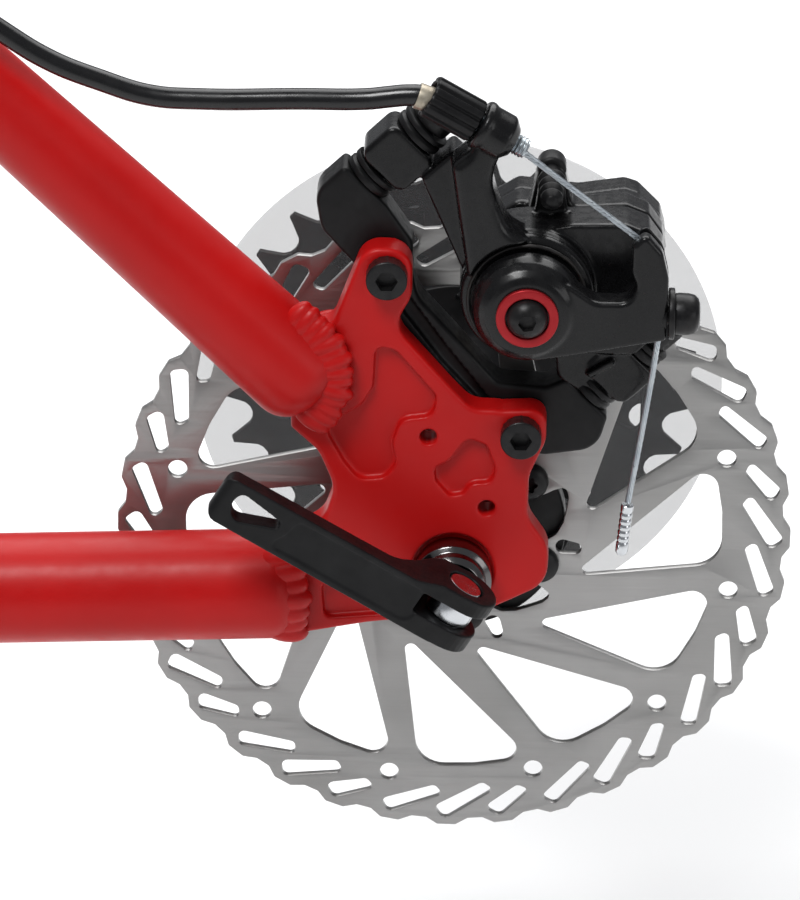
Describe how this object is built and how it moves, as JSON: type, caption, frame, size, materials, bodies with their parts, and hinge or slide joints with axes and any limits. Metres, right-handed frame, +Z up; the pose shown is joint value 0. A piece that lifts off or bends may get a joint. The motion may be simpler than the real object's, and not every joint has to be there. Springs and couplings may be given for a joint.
{
  "type": "bicycle rear hub assembly",
  "caption": "Rear bicycle disc hub on its axle with sprockets, brake rotor, quick release, welded dropout and a cable pulled disc brake.",
  "frame": {"origin": "on the axle axis, half way between the outer faces of the two locknuts (135 mm apart)", "axes": "+Y along the axle towards the sprocket side, +X to the rear of the bicycle, +Z up"},
  "size_m": [0.201, 0.1933, 0.2261],
  "materials": {
    "red_paint": "gloss red paint over welded aluminium",
    "black_gloss": "gloss black painted casting",
    "black_satin": "satin black anodised or painted metal",
    "black_bolt": "black oxide steel",
    "rotor_steel": "ground stainless steel",
    "bright_steel": "bright plated steel",
    "dark_steel": "dark plated steel",
    "red_anodised": "red anodised",
    "clear_plastic": "clear moulded plastic",
    "housing_black": "smooth black cable sheath",
    "pad_compound": "dull friction compound on a steel backing"
  },
  "bodies": {
    "frame_and_brake_body": {"dropout_plate": "red_paint", "seatstay_end": "red_paint", "chainstay_end": "red_paint", "axle": "dark_steel", "cone_left": "bright_steel", "cone_right": "bright_steel", "locknut_left": "dark_steel", "locknut_right": "dark_steel", "caliper_adapter": "black_satin", "adapter_bolt_1": "black_bolt", "adapter_bolt_2": "black_bolt", "mount_bolt_upper": "black_bolt", "washers_inner_upper": "black_satin", "washers_outer_upper": "black_satin", "mount_bolt_lower": "black_bolt", "washers_inner_lower": "black_satin", "washers_outer_lower": "black_satin", "caliper_outboard_half": "black_gloss", "caliper_inboard_half": "black_gloss", "body_bolt_upper": "black_bolt", "body_bolt_lower": "black_bolt", "arm_return_spring": "bright_steel", "brake_housing": "housing_black", "housing_end_cap": "bright_steel", "qr_spring_left": "bright_steel", "qr_spring_right": "bright_steel"},
    "hub": {"hub_shell": "black_satin", "brake_rotor": "rotor_steel", "rotor_bolt_1": "black_bolt", "rotor_bolt_2": "black_bolt", "rotor_bolt_3": "black_bolt", "rotor_bolt_4": "black_bolt", "rotor_bolt_5": "black_bolt", "rotor_bolt_6": "black_bolt", "dust_cap_left": "black_satin", "spoke_protector": "clear_plastic"},
    "ball_cage_left": {"caged_balls_left": "bright_steel"},
    "ball_cage_right": {"caged_balls_right": "bright_steel"},
    "freehub": {"freehub_driver": "dark_steel", "sprocket_cluster": "dark_steel", "sprocket_smallest": "dark_steel", "cassette_lockring": "bright_steel"},
    "skewer": {"qr_rod": "bright_steel", "qr_cam_cap": "bright_steel", "qr_cam_pin": "bright_steel"},
    "lever": {"qr_lever": "black_satin"},
    "skewer_nut": {"qr_nut": "black_satin"},
    "arm": {"brake_arm": "black_gloss", "arm_bolt": "black_bolt", "arm_ring": "red_anodised", "drive_cam": "bright_steel", "cable_clamp_bolt": "black_bolt", "inner_wire_tail": "bright_steel", "cable_end_cap": "bright_steel"},
    "wire": {"inner_wire_run": "bright_steel"},
    "piston_and_pad": {"thrust_piston": "bright_steel", "brake_pad_outboard": "pad_compound"},
    "pad_adjuster": {"pad_adjuster_knob": "red_anodised"},
    "fixed_pad": {"brake_pad_inboard": "pad_compound"},
    "adjuster": {"barrel_adjuster": "black_satin"}
  },
  "joints": [
    {"name": "hub_spin", "type": "hinge", "parent": "frame_and_brake_body", "child": "hub", "pos_m": [0, 0, 0], "axis": [0, 1, 0], "continuous": true},
    {"name": "left_balls_roll", "type": "hinge", "parent": "frame_and_brake_body", "child": "ball_cage_left", "pos_m": [0, -0.0513, 0], "axis": [0, 1, 0], "continuous": true},
    {"name": "right_balls_roll", "type": "hinge", "parent": "frame_and_brake_body", "child": "ball_cage_right", "pos_m": [0, 0.053, 0], "axis": [0, 1, 0], "continuous": true},
    {"name": "freehub_spin", "type": "hinge", "parent": "hub", "child": "freehub", "pos_m": [0, 0.05, 0], "axis": [0, 1, 0], "continuous": true},
    {"name": "skewer_turn", "type": "hinge", "parent": "frame_and_brake_body", "child": "skewer", "pos_m": [0, 0, 0], "axis": [0, 1, 0], "continuous": true},
    {"name": "lever_flip", "type": "hinge", "parent": "skewer", "child": "lever", "pos_m": [0, -0.0935, 0], "axis": [0.5075, 0, 0.8616], "range_deg": [0, 180]},
    {"name": "nut_turn", "type": "hinge", "parent": "frame_and_brake_body", "child": "skewer_nut", "pos_m": [0, 0.08, 0], "axis": [0, 1, 0], "continuous": true},
    {"name": "arm_pull", "type": "hinge", "parent": "frame_and_brake_body", "child": "arm", "pos_m": [0.0155, -0.08, 0.0705], "axis": [0, -1, 0], "range_deg": [0, 20], "stiffness_Nm_per_rad": 0.6, "springref_deg": -20.05},
    {"name": "wire_slide", "type": "slide", "parent": "frame_and_brake_body", "child": "wire", "axis": [-0.7916, 0, 0.6111], "range_m": [0, 0.0104]},
    {"name": "piston_push", "type": "slide", "parent": "frame_and_brake_body", "child": "piston_and_pad", "axis": [0, 1, 0], "range_m": [0, 0.0005]},
    {"name": "pad_adjuster_turn", "type": "hinge", "parent": "frame_and_brake_body", "child": "pad_adjuster", "pos_m": [0.0155, -0.031, 0.0705], "axis": [0, -1, 0], "range_deg": [-180, 180]},
    {"name": "fixed_pad_set", "type": "slide", "parent": "frame_and_brake_body", "child": "fixed_pad", "axis": [0, -1, 0], "range_m": [-0.0005, 0.0005]},
    {"name": "barrel_turn", "type": "hinge", "parent": "frame_and_brake_body", "child": "adjuster", "pos_m": [0.004, -0.08, 0.1154], "axis": [0.8704, 0, -0.4924], "range_deg": [-720, 720]}
  ],
  "couplings": [
    {"joint": "left_balls_roll", "follows": "hub_spin", "ratio": 0.6},
    {"joint": "right_balls_roll", "follows": "hub_spin", "ratio": 0.6},
    {"joint": "wire_slide", "follows": "arm_pull", "m_per_rad": 0.0296},
    {"joint": "piston_push", "follows": "arm_pull", "m_per_rad": 0.00143},
    {"joint": "pad_adjuster_turn", "follows": "fixed_pad_set", "rad_per_m": 6283.2}
  ]
}
